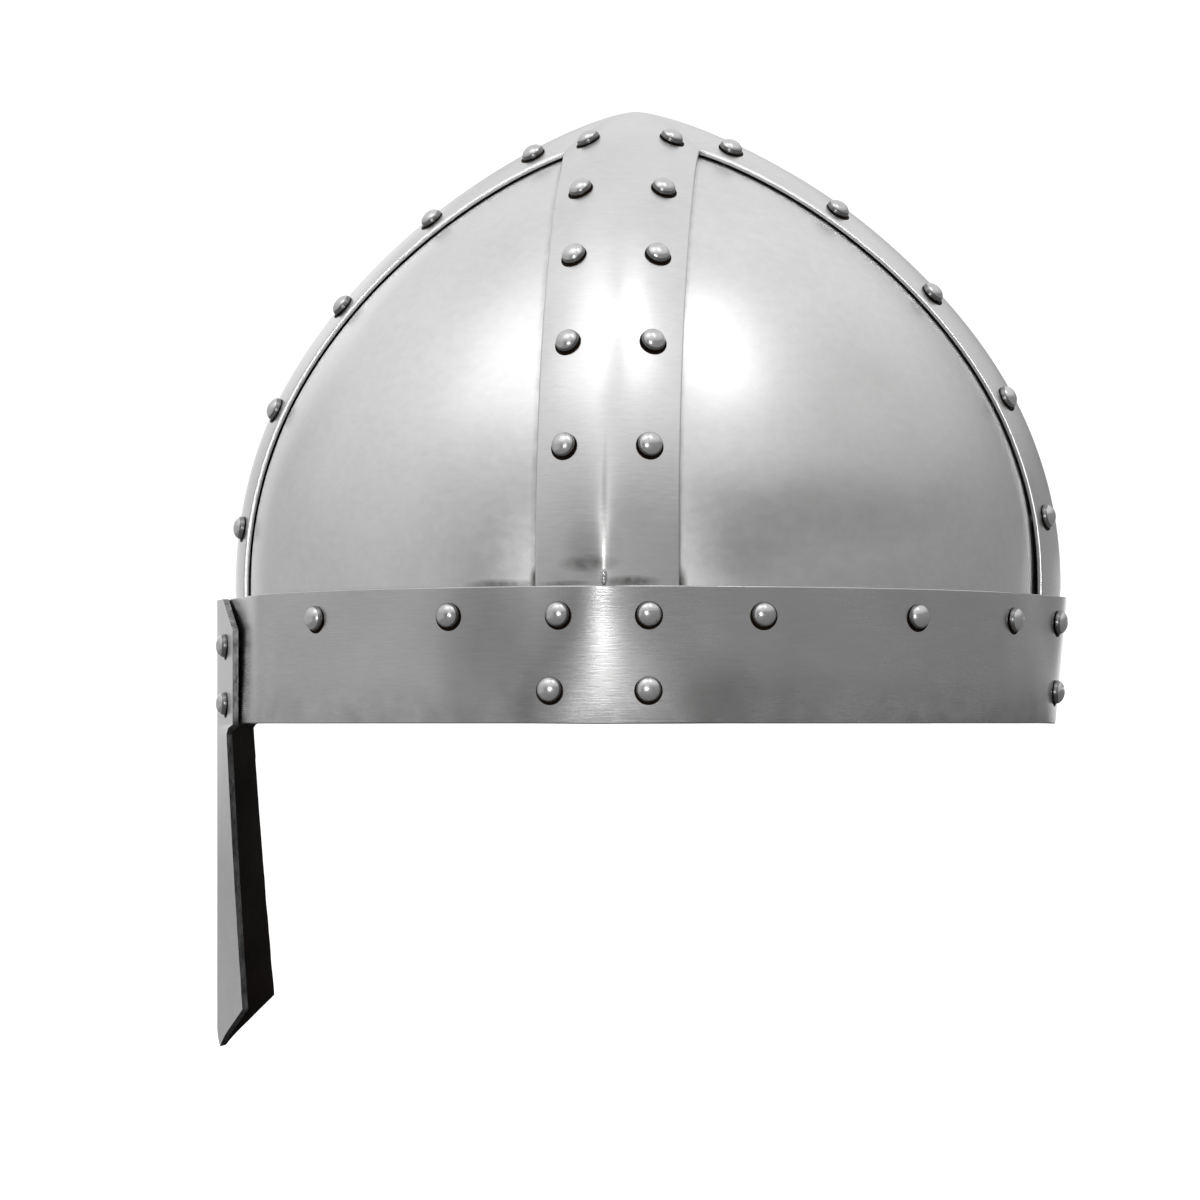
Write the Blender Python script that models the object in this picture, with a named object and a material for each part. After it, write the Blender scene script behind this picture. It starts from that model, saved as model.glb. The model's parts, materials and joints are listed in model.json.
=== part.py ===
# Ridged spangenhelm with a riveted nasal, in sheet steel.
# It is drawn level, front towards -X, the wearer's left towards -Y and the rim at z = 0,
# and then stood on the floor as it rests by itself, on the nasal's tip and the back of the rim.

from math import asin, atan2, cos, hypot, pi, radians, sin

import bmesh
import bpy
from mathutils import Matrix, Vector
from mathutils.bvhtree import BVHTree

# Sheet and fits, in metres
SHEET = 0.0016
NASAL_SHEET = 0.0020
CLEARANCE = 0.0003

# Crown, measured to the outside of the infill plates
FRONT_REACH = 0.1068
REAR_REACH = 0.1116
HALF_WIDTH = 0.0963
WALL_HEIGHT = 0.0371
DOME_RISE = 0.1270
PLAN_POWER = 1.325
RISE_POWER = 2.1
DOME_ROWS = 9
CAP_ROWS = (2 / 3, 1 / 3)

# Spangens: the four ridged straps, welded at the apex into one frame; the front and back ones are narrower
SPANGEN_HALF_WIDTH = 0.0181
LONG_SPANGEN_HALF_WIDTH = 0.0166
SPANGEN_FOOT = 0.0025
RIDGE_HEIGHT = 0.0038
RIDGE_SHARE_AT_RIM = 0.1

# Infill plates, which lap behind the spangens and the band
PLATE_EDGE_FROM_RIDGE = 0.0030
PLATE_FOOT = 0.0160
PLATE_DIVISIONS = 5

# Brow band
BAND_HEIGHT = 0.0347

# Nasal: a ridged plate with a wider head that is riveted over the front of the band
HEAD_HALF_WIDTH = 0.0255
HEAD_FLAT_HALF_WIDTH = 0.0110
HEAD_DEPTH = 0.0085
HEAD_BELOW_BAND_TOP = 0.0002
HEAD_TOP = BAND_HEIGHT - HEAD_BELOW_BAND_TOP
HEAD_CORNER_DROP = 0.0090
HEAD_BELOW_RIM = 0.0010
NECK_HALF_WIDTH = 0.0216
NECK_DEPTH = 0.0060
NECK_FILLET = 0.0028
NASAL_FOOT_HALF_WIDTH = 0.0275
NASAL_FOOT_DEPTH = 0.0116
NASAL_DROP = 0.0905
NASAL_CORNER_RISE = 0.0125
NASAL_TIP_SETBACK = 0.0008
NASAL_STANDOFF = 0.0015

# Rivets
RIVET_SIDES = 8
HOLE_SIDES = 5
HEAD_RADIUS = 0.0032
HEAD_RISE = 0.0022
SHANK_RADIUS = 0.0015
TAIL_RADIUS = 0.0024
TAIL_RISE = 0.0011
RIVET_COLUMN = 0.0105
NASAL_RIVET_COLUMN = 0.0150
BAND_TOP_ROW_DROP = 0.0072
BAND_LOW_ROW_RISE = 0.0086
HEAD_TOP_ROW_DROP = 0.0132
HEAD_LOW_ROW_RISE = 0.0055

# Band rivets over a side spangen: how far before and behind its ridge, in the top and the low row
BAND_SIDE_COLUMNS = ((0.0114, 0.0106), (0.0137, 0.0105))

# Rivet rows of a spangen, in degrees of the quarter turn from the wall's top to the apex
SPANGEN_ROWS = {
    "side": (13.7, 26.3, 39.2, 52.2, 68.0),
    "front": (6.8, 21.2, 35.6, 50.3, 65.6),
    "back": (7.7, 22.0, 36.6, 51.1, 66.3),
}

# Band rivets that hold the infill plates, in degrees round the plan from its side plane
BAND_PLATE_RIVETS = {"front": (22.0, 46.4), "back": (20.5, 43.8, 66.0)}

STEEL_LIGHT = (0.62, 0.62, 0.63)
STEEL_BAND = (0.50, 0.50, 0.51)
STEEL_RIVET = (0.66, 0.66, 0.67)

SPANGEN_ETA = LONG_SPANGEN_HALF_WIDTH / HALF_WIDTH
MEAN_REACH = (FRONT_REACH + REAR_REACH) / 2
SPANGEN_XI = SPANGEN_HALF_WIDTH / MEAN_REACH
BAND_ROWS = (BAND_HEIGHT - BAND_TOP_ROW_DROP, BAND_LOW_ROW_RISE)
HEAD_ROWS = {"upper": BAND_HEIGHT - HEAD_TOP_ROW_DROP, "lower": HEAD_LOW_ROW_RISE}
THROUGH_ALL = HEAD_RADIUS + 4 * SHEET


def clear_scene():
    for thing in list(bpy.data.objects):
        bpy.data.objects.remove(thing, do_unlink=True)


def steel(name, colour, roughness):
    material = bpy.data.materials.new(name)
    material.use_nodes = True
    shader = material.node_tree.nodes["Principled BSDF"]
    shader.inputs["Base Color"].default_value = (*colour, 1.0)
    shader.inputs["Roughness"].default_value = roughness
    shader.inputs["Metallic"].default_value = 1.0
    return material


# The crown's surface. xi and eta are the plan position as shares of the reach and half width,
# so every level of the crown is a circle in them.
def level_at(turn):
    """Plan share and height at a turn from 0, the wall's top, to a quarter, the apex."""
    return cos(turn) ** (2 / PLAN_POWER), WALL_HEIGHT + DOME_RISE * sin(turn) ** (2 / RISE_POWER)


def turn_at(share):
    """The turn at which a level has this plan share."""
    return pi / 2 - asin(share ** (PLAN_POWER / 2))


def skin(xi, eta, height, out):
    """A point at a distance out of the infill plates' outer surface."""
    reach = REAR_REACH if xi >= 0 else FRONT_REACH
    share = hypot(xi, eta)
    lift = max(0.0, (height - WALL_HEIGHT) / DOME_RISE)
    around = PLAN_POWER * share ** (PLAN_POWER - 2) if share > 1e-6 else 0.0
    slope = Vector(
        (
            around * xi / reach,
            around * eta / HALF_WIDTH,
            RISE_POWER * lift ** (RISE_POWER - 1) / DOME_RISE,
        )
    )
    return Vector((xi * reach, eta * HALF_WIDTH, height)) + slope.normalized() * out


def ridge_at(height):
    """The ridge flattens out towards the rim, under the band."""
    share = min(1.0, height / WALL_HEIGHT)
    return RIDGE_HEIGHT * (RIDGE_SHARE_AT_RIM + (1 - RIDGE_SHARE_AT_RIM) * share)


def off_ridge(xi, eta):
    """0 on a ridge, 1 at a spangen's edge and beyond."""
    return min(1.0, abs(xi) / SPANGEN_XI, abs(eta) / SPANGEN_ETA)


def frame_out(xi, eta, height):
    """How far the spangens' outer face stands off the plates."""
    return CLEARANCE + SHEET + ridge_at(height) * (1 - off_ridge(xi, eta))


def crown_levels(foot):
    """Levels from a foot in the wall up to the inner corners of the spangens."""
    corner = turn_at(hypot(SPANGEN_XI, SPANGEN_ETA))
    turns = [corner * row / DOME_ROWS for row in range(1, DOME_ROWS + 1)]
    return [(1.0, foot), (1.0, WALL_HEIGHT)] + [level_at(turn) for turn in turns]


def cap_levels():
    """Levels above those corners."""
    corner = hypot(SPANGEN_XI, SPANGEN_ETA)
    return [level_at(turn_at(corner * row)) for row in CAP_ROWS]


# Building meshes from rows of points
def split_outwards(mesh, first, second, third, fourth):
    """Two triangles on the diagonal that stands further out, so that nested sheets bend alike."""
    straight = (first.co + third.co).length
    crossed = (second.co + fourth.co).length
    if straight >= crossed:
        corners = ((first, second, third), (first, third, fourth))
    else:
        corners = ((first, second, fourth), (second, third, fourth))
    for triangle in corners:
        mesh.faces.new(triangle)


def sheet_from_grids(name, grids, material):
    """Grids that share their border points become one open sheet, facing out."""
    mesh = bmesh.new()
    for rows in grids:
        made = [[mesh.verts.new(point) for point in row] for row in rows]
        for low, high in zip(made, made[1:]):
            for left in range(len(low) - 1):
                split_outwards(mesh, low[left], low[left + 1], high[left + 1], high[left])
    bmesh.ops.remove_doubles(mesh, verts=mesh.verts, dist=1e-5)
    bmesh.ops.recalc_face_normals(mesh, faces=mesh.faces)
    top = max(mesh.faces, key=lambda face: (face.calc_center_median().z, face.index))
    if top.normal.dot(top.calc_center_median()) < 0:
        bmesh.ops.reverse_faces(mesh, faces=mesh.faces)
    return object_from(name, mesh, material)


def object_from(name, mesh, material):
    data = bpy.data.meshes.new(name)
    mesh.to_mesh(data)
    mesh.free()
    data.materials.append(material)
    made = bpy.data.objects.new(name, data)
    bpy.context.collection.objects.link(made)
    return made


def smooth_round(made):
    made.data.shade_smooth()
    made.data.set_sharp_from_angle(angle=radians(28))


def thicken(made, thickness, side):
    """Sheet thickness: side -1 grows inwards, +1 outwards."""
    modifier = made.modifiers.new("thickness", "SOLIDIFY")
    modifier.thickness = thickness
    modifier.offset = side
    modifier.use_even_offset = True


def tree_of(made):
    """The object's evaluated faces, to seat rivets on."""
    bpy.context.view_layer.update()
    return BVHTree.FromObject(made, bpy.context.evaluated_depsgraph_get())


# Crown frame
def arm_columns(share, along):
    """Plan points on half an arm at a level, on its ridge and at its edge."""
    if along == "x":
        return [(share, 0.0), ((share**2 - SPANGEN_ETA**2) ** 0.5, SPANGEN_ETA)]
    return [(0.0, share), (SPANGEN_XI, (share**2 - SPANGEN_XI**2) ** 0.5)]


def frame_grid(along, front, left):
    levels = crown_levels(SPANGEN_FOOT)
    rows = []
    for share, height in levels:
        row = []
        for xi, eta in arm_columns(share, along):
            xi, eta = xi * front, eta * left
            row.append(skin(xi, eta, height, frame_out(xi, eta, height)))
        rows.append(row)
    corner = levels[-1][0]
    for share, height in cap_levels() + [(0.0, WALL_HEIGHT + DOME_RISE)]:
        row = []
        for xi, eta in arm_columns(corner, along):
            xi, eta = xi * front * share / corner, eta * left * share / corner
            row.append(skin(xi, eta, height, frame_out(xi, eta, height)))
        rows.append(row)
    return rows


def make_crown_frame(material):
    grids = [
        frame_grid(along, front, left) for along in ("x", "y") for front in (-1, 1) for left in (-1, 1)
    ]
    frame = sheet_from_grids("crown_frame", grids, material)
    thicken(frame, SHEET, -1)
    smooth_round(frame)
    return frame


# Infill plates
def plan_stations():
    """Angles round a quarter of the wall: spangen edges and even divisions between them."""
    first = asin(SPANGEN_ETA)
    last = pi / 2 - asin(SPANGEN_XI)
    return [first + (last - first) * step / PLATE_DIVISIONS for step in range(PLATE_DIVISIONS + 1)]


def plate_edges(share):
    """Angles of a plate's two upright edges at a level."""
    low = asin(PLATE_EDGE_FROM_RIDGE / HALF_WIDTH / share)
    return low, pi / 2 - asin(PLATE_EDGE_FROM_RIDGE / MEAN_REACH / share)


def plate_rows(front, left):
    start, end = plate_edges(1.0)
    shares = [(angle - start) / (end - start) for angle in [start, *plan_stations(), end]]
    rows = []
    for share, height in crown_levels(PLATE_FOOT) + cap_levels():
        low, high = plate_edges(share)
        angles = [low + (high - low) * part for part in shares]
        plan = [(share * cos(angle) * front, share * sin(angle) * left) for angle in angles]
        rows.append([skin(xi, eta, height, 0.0) for xi, eta in plan])
    return rows


def make_plate(name, front, left, material):
    plate = sheet_from_grids(name, [plate_rows(front, left)], material)
    thicken(plate, SHEET, -1)
    smooth_round(plate)
    return plate


# Brow band
def band_inner_out(xi, eta, height):
    """The band rides over the spangens and comes down to the plates beyond their edges."""
    off = off_ridge(xi, eta)
    if off < 1:
        return frame_out(xi, eta, height) + CLEARANCE
    first, second = plan_stations()[:2]
    angle = atan2(abs(eta), abs(xi))
    from_edge = min(angle - first, plan_stations()[-1] - angle) / (second - first)
    return CLEARANCE + (SHEET + CLEARANCE) * max(0.0, 1 - from_edge)


def band_angles():
    """Angles all round the plan, with a station at each break of the band's section."""
    quarter = [0.0, *plan_stations()]
    turned = [pi - angle for angle in [pi / 2, *reversed(quarter[1:])]]
    half = quarter + turned
    return half + [angle + pi for angle in half]


def band_row(height):
    row = []
    for angle in band_angles():
        xi, eta = cos(angle), sin(angle)
        if abs(xi) < 1e-9:
            xi = 0.0
        row.append(skin(xi, eta, height, band_inner_out(xi, eta, height)))
    return row + row[:1]


def make_brow_band(material):
    band = sheet_from_grids("brow_band", [[band_row(0.0), band_row(BAND_HEIGHT)]], material)
    thicken(band, SHEET, 1)
    smooth_round(band)
    return band


# Nasal
def front_stack():
    """The band's outer face over the front ridge, at its top edge."""
    return FRONT_REACH + frame_out(-1.0, 0.0, BAND_HEIGHT) + CLEARANCE + SHEET


def nasal_section(height, half_width, depth, front):
    """One level of the nasal: its outer face from edge to ridge to edge."""
    back = front + depth
    return [
        Vector((back, -half_width, height)),
        Vector((front + depth / 2, -half_width / 2, height)),
        Vector((front, 0.0, height)),
        Vector((front + depth / 2, half_width / 2, height)),
        Vector((back, half_width, height)),
    ]


def nasal_rows():
    front = -front_stack() - NASAL_STANDOFF - NASAL_SHEET
    flat_depth = HEAD_DEPTH * HEAD_FLAT_HALF_WIDTH / HEAD_HALF_WIDTH
    neck_top = -HEAD_BELOW_RIM
    rows = [
        nasal_section(HEAD_TOP, HEAD_FLAT_HALF_WIDTH, flat_depth, front),
        nasal_section(HEAD_TOP - HEAD_CORNER_DROP, HEAD_HALF_WIDTH, HEAD_DEPTH, front),
        nasal_section(neck_top, HEAD_HALF_WIDTH, HEAD_DEPTH, front),
        nasal_section(neck_top - NECK_FILLET / 3, (HEAD_HALF_WIDTH + 2 * NECK_HALF_WIDTH) / 3,
                      (HEAD_DEPTH + 2 * NECK_DEPTH) / 3, front),
        nasal_section(neck_top - NECK_FILLET, NECK_HALF_WIDTH, NECK_DEPTH, front),
        nasal_section(-NASAL_DROP + NASAL_CORNER_RISE, NASAL_FOOT_HALF_WIDTH, NASAL_FOOT_DEPTH, front),
    ]
    last = [point.copy() for point in rows[-1]]
    for point in last:
        reach = 1 - abs(point.y) / NASAL_FOOT_HALF_WIDTH
        point.z -= NASAL_CORNER_RISE * reach
        point.x += NASAL_TIP_SETBACK * reach
    return rows, last


def make_nasal(material):
    rows, last = nasal_rows()
    mesh = bmesh.new()
    made = [[mesh.verts.new(point) for point in row] for row in rows]
    tip = [made[-1][0]] + [mesh.verts.new(point) for point in last[1:-1]] + [made[-1][-1]]
    for low, high in zip(made[1:], made):
        for left in range(len(low) - 1):
            mesh.faces.new((low[left], low[left + 1], high[left + 1], high[left]))
    foot = made[-1]
    mesh.faces.new((foot[0], tip[1], foot[1]))
    mesh.faces.new((foot[1], tip[1], tip[2], foot[2]))
    mesh.faces.new((foot[2], tip[2], tip[3], foot[3]))
    mesh.faces.new((foot[3], tip[3], foot[4]))
    bmesh.ops.recalc_face_normals(mesh, faces=mesh.faces)
    mesh.faces.ensure_lookup_table()
    if mesh.faces[0].normal.x > 0:
        bmesh.ops.reverse_faces(mesh, faces=mesh.faces)
    nasal = object_from("nasal", mesh, material)
    thicken(nasal, NASAL_SHEET, -1)
    return nasal


# Rivets
def seat_on(tree, start, inwards):
    """Where a rivet's axis meets the outer face, and its axis, square to that face."""
    seat, normal, _, _ = tree.ray_cast(start, inwards)
    return seat, normal.normalized()


def grip_through(trees, seat, axis):
    """How deep the sheets under a rivet's tail go, felt at its centre and round its edge."""
    deepest = SHEET
    side = axis.orthogonal().normalized()
    rims = [Vector()]
    for step in range(RIVET_SIDES):
        rims.append(Matrix.Rotation(2 * pi * step / RIVET_SIDES, 3, axis) @ side * TAIL_RADIUS)
    for tree in trees:
        for rim in rims:
            hit, _, _, distance = tree.ray_cast(seat + rim - axis * THROUGH_ALL, axis, THROUGH_ALL)
            if hit is not None:
                deepest = max(deepest, THROUGH_ALL - distance)
    return deepest


def rivet_profile(grip, above):
    """Radius and height from the head's crown to the tail's end; z = 0 is the outer face."""
    tail = -grip - CLEARANCE
    return [
        (0.0, above + HEAD_RISE),
        (0.62 * HEAD_RADIUS, above + 0.78 * HEAD_RISE),
        (HEAD_RADIUS, above),
        (SHANK_RADIUS, above),
        (SHANK_RADIUS, tail),
        (TAIL_RADIUS, tail),
        (0.0, tail - TAIL_RISE),
    ]


def rivet_mesh(profile):
    mesh = bmesh.new()
    rings = []
    for radius, height in profile:
        if radius == 0.0:
            rings.append([mesh.verts.new((0.0, 0.0, height))])
            continue
        angles = [2 * pi * (step + 0.5) / RIVET_SIDES for step in range(RIVET_SIDES)]
        rings.append([mesh.verts.new((radius * cos(a), radius * sin(a), height)) for a in angles])
    for upper, lower in zip(rings, rings[1:]):
        for step in range(RIVET_SIDES):
            after = (step + 1) % RIVET_SIDES
            corners = [upper[step % len(upper)], lower[step % len(lower)]]
            corners += [lower[after % len(lower)], upper[after % len(upper)]]
            mesh.faces.new(list(dict.fromkeys(corners)))
    bmesh.ops.recalc_face_normals(mesh, faces=mesh.faces)
    return mesh


def axis_frame(seat, axis):
    """A matrix whose z runs out along the rivet's axis."""
    return Matrix.Translation(seat) @ axis.to_track_quat("Z", "Y").to_matrix().to_4x4()


def make_rivet(name, place, trees, above, material):
    seat, axis = place
    rivet = object_from(name, rivet_mesh(rivet_profile(grip_through(trees, seat, axis), above)), material)
    rivet.matrix_world = axis_frame(seat, axis)
    smooth_round(rivet)
    return rivet


def make_hole_cutter(name, places):
    """One prism through every rivet place, with clearance round the shank."""
    mesh = bmesh.new()
    across = (SHANK_RADIUS + CLEARANCE) / cos(pi / HOLE_SIDES)
    for seat, axis in places:
        bmesh.ops.create_cone(mesh, cap_ends=True, segments=HOLE_SIDES, radius1=across,
                              radius2=across, depth=2 * THROUGH_ALL, matrix=axis_frame(seat, axis))
    cutter = object_from(name, mesh, bpy.data.materials.new(name))
    cutter.hide_render = True
    cutter.display_type = "WIRE"
    return cutter


def drill(made, cutter):
    modifier = made.modifiers.new("rivet holes", "BOOLEAN")
    modifier.operation = "DIFFERENCE"
    modifier.object = cutter


# Rivet places
def spangen_places(tree):
    """Named places of the five pairs of rivets along each spangen."""
    places = {}
    arms = {"left": ("side", -1), "right": ("side", 1), "front": ("front", -1), "back": ("back", 1)}
    for arm, (table, sense) in arms.items():
        for row, climb in enumerate(SPANGEN_ROWS[table], 1):
            share, height = level_at(radians(climb))
            for column, side in (("a", -1), ("b", 1)):
                across = side * RIVET_COLUMN / (MEAN_REACH if table == "side" else HALF_WIDTH)
                along = sense * (share**2 - across**2) ** 0.5
                xi, eta = (across, along) if table == "side" else (along, across)
                start = skin(xi, eta, height, 4 * HEAD_RADIUS)
                inwards = skin(xi, eta, height, 0.0) - start
                places[f"rivet_{arm}_{row}{column}"] = seat_on(tree, start, inwards)
    return places


def band_place(tree, angle, height):
    xi, eta = cos(angle), sin(angle)
    start = skin(xi, eta, height, 4 * HEAD_RADIUS)
    return seat_on(tree, start, skin(xi, eta, height, 0.0) - start)


def band_places(tree):
    """Four rivets over each side spangen and the back one, and those that hold the plates."""
    places = []
    for height, (before, behind) in zip(BAND_ROWS, BAND_SIDE_COLUMNS):
        for left in (-1, 1):
            places.append(band_place(tree, left * (pi / 2 + asin(before / MEAN_REACH)), height))
            places.append(band_place(tree, left * (pi / 2 - asin(behind / MEAN_REACH)), height))
            places.append(band_place(tree, left * asin(RIVET_COLUMN / HALF_WIDTH), height))
    for left in (-1, 1):
        for end, sense in (("front", 1), ("back", -1)):
            for degrees in BAND_PLATE_RIVETS[end]:
                turn = pi / 2 + sense * radians(degrees)
                places.append(band_place(tree, left * turn, BAND_ROWS[0]))
    return places


def nasal_places(tree):
    places = {}
    for row, height in HEAD_ROWS.items():
        for column, side in (("a", -1), ("b", 1)):
            start = Vector((-FRONT_REACH - 8 * HEAD_RADIUS, side * NASAL_RIVET_COLUMN, height))
            places[f"rivet_nasal_{row}_{column}"] = seat_on(tree, start, Vector((1, 0, 0)))
    return places


def fuse_band_rivets(band, places, trees):
    """The band's rivets are made in one with it: their heads sit down into its outer face."""
    mesh = bmesh.new()
    for seat, axis in places:
        grip = max(grip_through(trees, seat, axis), SHEET + CLEARANCE)
        single = rivet_mesh(rivet_profile(grip, -0.1 * SHEET))
        single.transform(axis_frame(seat, axis))
        data = bpy.data.meshes.new("band rivet")
        single.to_mesh(data)
        single.free()
        mesh.from_mesh(data)
        bpy.data.meshes.remove(data)
    rivets = object_from("band_rivets", mesh, bpy.data.materials.new("band rivets"))
    rivets.hide_render = True
    rivets.display_type = "WIRE"
    modifier = band.modifiers.new("rivets", "BOOLEAN")
    modifier.operation = "UNION"
    modifier.object = rivets
    return rivets


# Resting pose
def rest_pose(pieces):
    """Tilts the level helmet onto the nasal's tip and the rim, over the middle of its footprint."""
    bpy.context.view_layer.update()
    graph = bpy.context.evaluated_depsgraph_get()
    points = []
    for piece in pieces:
        evaluated = piece.evaluated_get(graph)
        mesh = evaluated.to_mesh()
        points += [piece.matrix_world @ vertex.co for vertex in mesh.vertices]
        evaluated.to_mesh_clear()
    tip = min(points, key=lambda point: point.z)
    behind = [point for point in points if point.x > REAR_REACH / 2]
    tilt = min(atan2(point.z - tip.z, point.x - tip.x) for point in behind)
    turned = [Matrix.Rotation(tilt, 3, "Y") @ point for point in points]
    middle = [(min(axis) + max(axis)) / 2 for axis in zip(*[(point.x, point.y) for point in turned])]
    lowest = min(point.z for point in turned)
    return Matrix.Translation((-middle[0], -middle[1], -lowest)) @ Matrix.Rotation(tilt, 4, "Y")


def main():
    clear_scene()
    light = steel("polished steel", STEEL_LIGHT, 0.28)
    dull = steel("brushed band steel", STEEL_BAND, 0.36)
    bright = steel("rivet steel", STEEL_RIVET, 0.22)

    frame = make_crown_frame(light)
    plates = {}
    for end, front in (("front", -1), ("back", 1)):
        for hand, left in (("left", -1), ("right", 1)):
            name = f"plate_{end}_{hand}"
            plates[name] = make_plate(name, front, left, light)
    band = make_brow_band(dull)
    nasal = make_nasal(dull)

    frame_tree, band_tree, nasal_tree = tree_of(frame), tree_of(band), tree_of(nasal)
    plate_trees = [tree_of(plate) for plate in plates.values()]
    crown_places = spangen_places(frame_tree)
    head_places = nasal_places(nasal_tree)
    rim_places = band_places(band_tree)

    rivets = []
    for name, place in crown_places.items():
        rivets.append(make_rivet(name, place, [frame_tree, *plate_trees], CLEARANCE, bright))
    for name, place in head_places.items():
        trees = [nasal_tree, band_tree, frame_tree, *plate_trees]
        rivets.append(make_rivet(name, place, trees, CLEARANCE, bright))
    band_rivets = fuse_band_rivets(band, rim_places, [band_tree, frame_tree, *plate_trees])

    crown_cutter = make_hole_cutter("crown_holes", [*crown_places.values(), *rim_places, *head_places.values()])
    head_cutter = make_hole_cutter("head_holes", head_places.values())
    for made in (frame, *plates.values()):
        drill(made, crown_cutter)
    for made in (band, nasal):
        drill(made, head_cutter)

    pieces = [frame, *plates.values(), band, nasal, *rivets]
    stand = bpy.data.objects.new("resting_helmet", None)
    bpy.context.collection.objects.link(stand)
    pose = rest_pose(pieces)
    for made in (*pieces, band_rivets, crown_cutter, head_cutter):
        made.parent = stand
    stand.matrix_world = pose


main()
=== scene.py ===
import json
from math import asin, atan2, cos, exp, hypot, pi, radians, sin

import bmesh
import bpy
from mathutils import Matrix, Vector, noise
from mathutils.bvhtree import BVHTree


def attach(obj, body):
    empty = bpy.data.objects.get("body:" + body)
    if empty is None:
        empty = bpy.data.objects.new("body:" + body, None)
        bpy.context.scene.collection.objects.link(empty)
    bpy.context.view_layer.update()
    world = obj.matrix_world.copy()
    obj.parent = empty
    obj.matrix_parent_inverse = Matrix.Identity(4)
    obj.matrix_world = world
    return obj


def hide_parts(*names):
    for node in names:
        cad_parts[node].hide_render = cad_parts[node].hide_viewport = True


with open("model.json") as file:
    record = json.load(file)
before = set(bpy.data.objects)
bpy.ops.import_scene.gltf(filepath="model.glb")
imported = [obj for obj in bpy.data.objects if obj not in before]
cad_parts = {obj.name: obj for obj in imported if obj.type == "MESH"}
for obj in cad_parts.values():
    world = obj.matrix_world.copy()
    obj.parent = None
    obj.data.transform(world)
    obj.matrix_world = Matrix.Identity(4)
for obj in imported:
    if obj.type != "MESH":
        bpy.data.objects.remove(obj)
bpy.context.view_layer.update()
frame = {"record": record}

# The helmet is drawn level, rim at z = 0, nasal towards -X, and stood on the floor by this pose.
opening = next(m for m in frame["record"]["mounts"] if m["name"] == "head_opening")
tilt = atan2(-opening["axis"][0], -opening["axis"][2])
pose = Matrix.Translation(opening["pos_m"]) @ Matrix.Rotation(tilt, 4, "Y")


# Shader helpers
class Sock:
    # one node's output, for use in expressions

    def __init__(self, tree, link):
        self.tree = tree
        self.link = link

    def math(self, operation, first, second):
        return self.tree.node("ShaderNodeMath", {"operation": operation}, {0: first, 1: second})

    def __add__(self, other):
        return self.math("ADD", self, other)

    def __radd__(self, other):
        return self.math("ADD", other, self)

    def __sub__(self, other):
        return self.math("SUBTRACT", self, other)

    def __rsub__(self, other):
        return self.math("SUBTRACT", other, self)

    def __mul__(self, other):
        return self.math("MULTIPLY", self, other)

    def __rmul__(self, other):
        return self.math("MULTIPLY", other, self)

    def __truediv__(self, other):
        return self.math("DIVIDE", self, other)

    def __abs__(self):
        return self.math("ABSOLUTE", self, 0)


class Shader:
    def __init__(self, owner, coordinates="Object"):
        self.owner = owner
        self.coordinates = coordinates
        owner.use_nodes = True
        self.nodes = owner.node_tree.nodes
        self.links = owner.node_tree.links

    def feed(self, socket, value):
        if isinstance(value, Sock):
            self.links.new(value.link, socket)
        else:
            socket.default_value = value

    def node(self, kind, settings=None, inputs=None, output=0):
        made = self.nodes.new(kind)
        for key, value in (settings or {}).items():
            if key == "stops":
                for _ in value[2:]:
                    made.color_ramp.elements.new(1)
                for spot, (place, shade) in zip(made.color_ramp.elements, value):
                    spot.position = place
                    spot.color = (shade, shade, shade, 1)
            else:
                setattr(made, key, value)
        for key, value in (inputs or {}).items():
            self.feed(made.inputs[key], value)
        return Sock(self, made.outputs[output])

    def place(self, stretch=(1, 1, 1)):
        # the level frame's coordinates, so that grain runs with the helmet and not with the floor
        where = self.node("ShaderNodeTexCoord", output=self.coordinates)
        inputs = {"Vector": where, "Rotation": (0, tilt, 0), "Scale": stretch}
        if self.coordinates == "Object":
            inputs["Location"] = opening["pos_m"]
        return self.node("ShaderNodeMapping", {"vector_type": "TEXTURE"}, inputs)

    def noise(self, scale, detail=2.0, stretch=(1, 1, 1), rough=0.5):
        fine = [1 / share for share in stretch]
        inputs = {"Vector": self.place(fine), "Scale": scale, "Detail": detail, "Roughness": rough}
        return self.node("ShaderNodeTexNoise", inputs=inputs, output="Fac")

    def ramp(self, value, low, high):
        return self.steps(value, (low, 0), (high, 1))

    def steps(self, value, *stops):
        return self.node("ShaderNodeValToRGB", {"stops": stops}, {"Fac": value})

    def vector(self, operation, first, second, output):
        return self.node("ShaderNodeVectorMath", {"operation": operation}, {0: first, 1: second}, output)

    def along(self, vector, direction):
        return self.vector("DOT_PRODUCT", vector, direction, "Value")

    def mixColour(self, share, first, second):
        made = self.nodes.new("ShaderNodeMix")
        made.data_type = "RGBA"
        self.feed(made.inputs["Factor"], share)
        self.feed(made.inputs[6], first)
        self.feed(made.inputs[7], second)
        return Sock(self, made.outputs[2])

    def bump(self, height, strength, distance):
        inputs = {"Height": height, "Strength": strength, "Distance": distance}
        return self.node("ShaderNodeBump", inputs=inputs, output="Normal")

    def surface(self, **inputs):
        for name, value in inputs.items():
            self.feed(self.nodes["Principled BSDF"].inputs[name.replace("_", " ")], value)
        return self.owner


# Finishes
def grey(shade, warm=0.0):
    return (shade + warm, shade, shade - warm, 1)


noiseRange = (0.3, 0.7)  # nearly all of a noise lies between these
# the near-black that painted shade is mixed towards
paintedShadeColour = grey(0.03, 0.004)


def near(steel, distance, full, none):
    # 1 within a distance, fading to 0; the ramp's own 0 to 1 stands for 20 cm
    fill = 5
    return steel.steps(fill * distance, (fill * full, 1), (fill * none, 0))


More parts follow.
